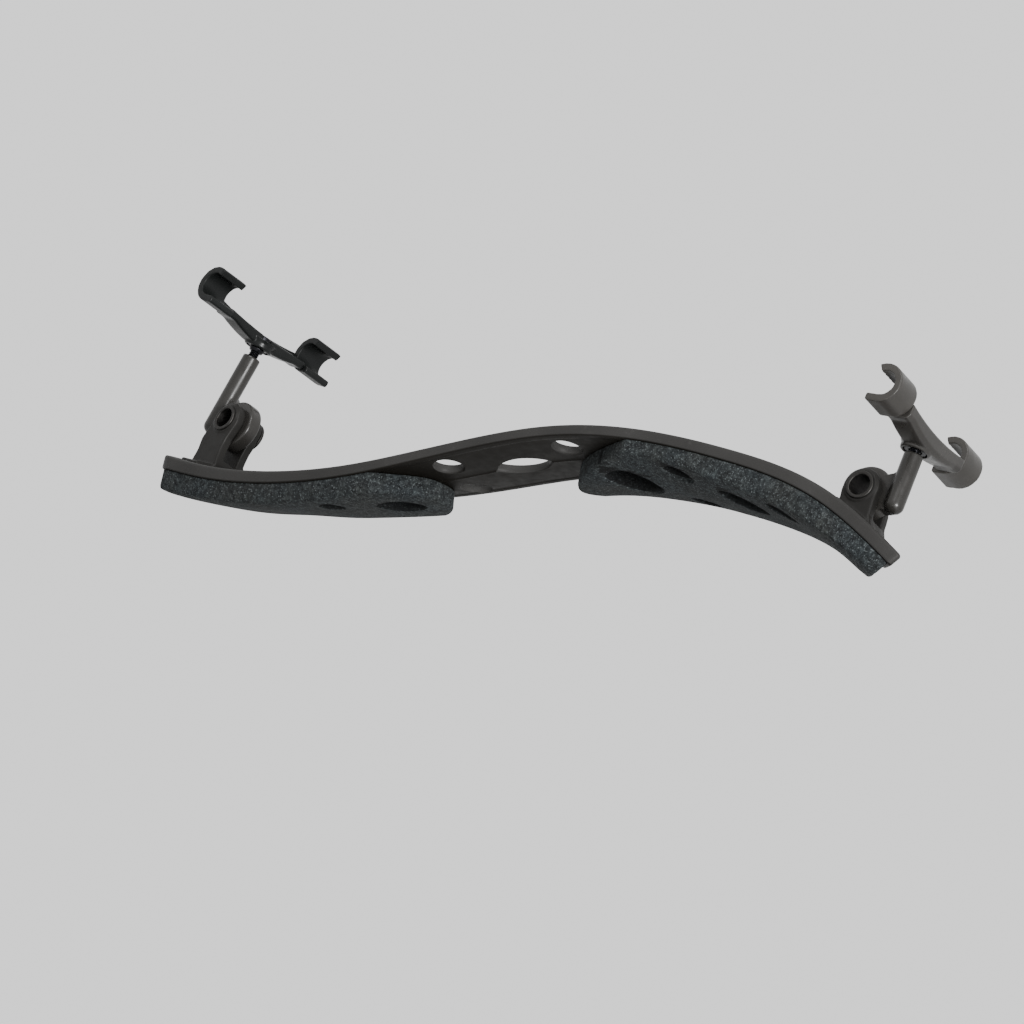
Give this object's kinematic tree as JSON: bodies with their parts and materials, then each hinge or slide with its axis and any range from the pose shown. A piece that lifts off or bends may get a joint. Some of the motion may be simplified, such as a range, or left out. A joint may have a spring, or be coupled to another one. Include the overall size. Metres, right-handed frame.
{
  "type": "violin shoulder rest",
  "caption": "Curved, twisted strip with foam pads below and tilting, height-adjustable hooked feet above that grip the edges of a violin's back.",
  "frame": {"origin": "middle of the model's bounding box in X and Y, at the height of its lowest point, which is on the chest pad", "axes": "+X runs along the rest from the chest end to the shoulder end, +Y across it from the neck side to the chin side, +Z from the pads up to the violin's back"},
  "size_m": [0.2254, 0.0436, 0.0552],
  "materials": {
    "base_plastic": "satin charcoal, slightly warm, fine moulded grain",
    "foam": "dense dark blue-grey cellular foam with light specks",
    "leg_plastic": "satin dark grey, a little shinier than the base",
    "bracket_plastic": "matt dark grey moulded plastic",
    "foot_plastic": "matt black-grey moulded plastic",
    "grip_rubber": "soft matt black rubber",
    "sleeve_metal": "blackened, satin",
    "screw_black": "black oxide",
    "plated_steel": "zinc plated"
  },
  "bodies": {
    "base": {"base_plate": "base_plastic", "chest_bracket": "bracket_plastic", "chest_bracket_screw_1": "plated_steel", "chest_bracket_screw_2": "plated_steel", "chest_pad": "foam", "chest_pivot_collar": "sleeve_metal", "chest_pivot_sleeve": "sleeve_metal", "shoulder_bracket": "bracket_plastic", "shoulder_bracket_screw_1": "plated_steel", "shoulder_bracket_screw_2": "plated_steel", "shoulder_pad": "foam", "shoulder_pivot_collar": "sleeve_metal", "shoulder_pivot_sleeve": "sleeve_metal"},
    "chest_leg": {"chest_leg": "leg_plastic"},
    "chest_lift_washer": {"chest_foot_washer": "screw_black"},
    "chest_foot": {"chest_foot_fork": "foot_plastic", "chest_grip_neck": "grip_rubber", "chest_grip_chin": "grip_rubber", "chest_height_screw": "screw_black"},
    "shoulder_leg": {"shoulder_leg": "leg_plastic"},
    "shoulder_lift_washer": {"shoulder_foot_washer": "screw_black"},
    "shoulder_foot": {"shoulder_foot_fork": "foot_plastic", "shoulder_grip_neck": "grip_rubber", "shoulder_grip_chin": "grip_rubber", "shoulder_height_screw": "screw_black"}
  },
  "joints": [
    {"name": "chest_leg_tilt", "type": "hinge", "parent": "base", "child": "chest_leg", "pos_m": [-0.10172, 0.00022, 0.02362], "axis": [0.1392, 0.9903, 0], "range_deg": [-8, 75]},
    {"name": "chest_foot_lift", "type": "slide", "parent": "chest_leg", "child": "chest_lift_washer", "axis": [0.1378, -0.0194, 0.9903], "range_m": [-0.00135, 0.00405]},
    {"name": "chest_foot_turn", "type": "hinge", "parent": "chest_lift_washer", "child": "chest_foot", "pos_m": [-0.10628, -0.00024, 0.04869], "axis": [0.1378, -0.0194, 0.9903], "range_deg": [-1081, 3241]},
    {"name": "shoulder_leg_tilt", "type": "hinge", "parent": "base", "child": "shoulder_leg", "pos_m": [0.08948, 0.00022, 0.03132], "axis": [0.1392, -0.9903, 0], "range_deg": [-8, 60]},
    {"name": "shoulder_foot_lift", "type": "slide", "parent": "shoulder_leg", "child": "shoulder_lift_washer", "axis": [-0.0432, -0.0061, 0.999], "range_m": [0, 0.0045]},
    {"name": "shoulder_foot_turn", "type": "hinge", "parent": "shoulder_lift_washer", "child": "shoulder_foot", "pos_m": [0.09678, 0.00014, 0.04715], "axis": [-0.0432, -0.0061, 0.999], "range_deg": [-1, 3601]}
  ],
  "couplings": [
    {"joint": "chest_foot_turn", "follows": "chest_foot_lift", "rad_per_m": 13963},
    {"joint": "shoulder_foot_turn", "follows": "shoulder_foot_lift", "rad_per_m": 13963}
  ]
}
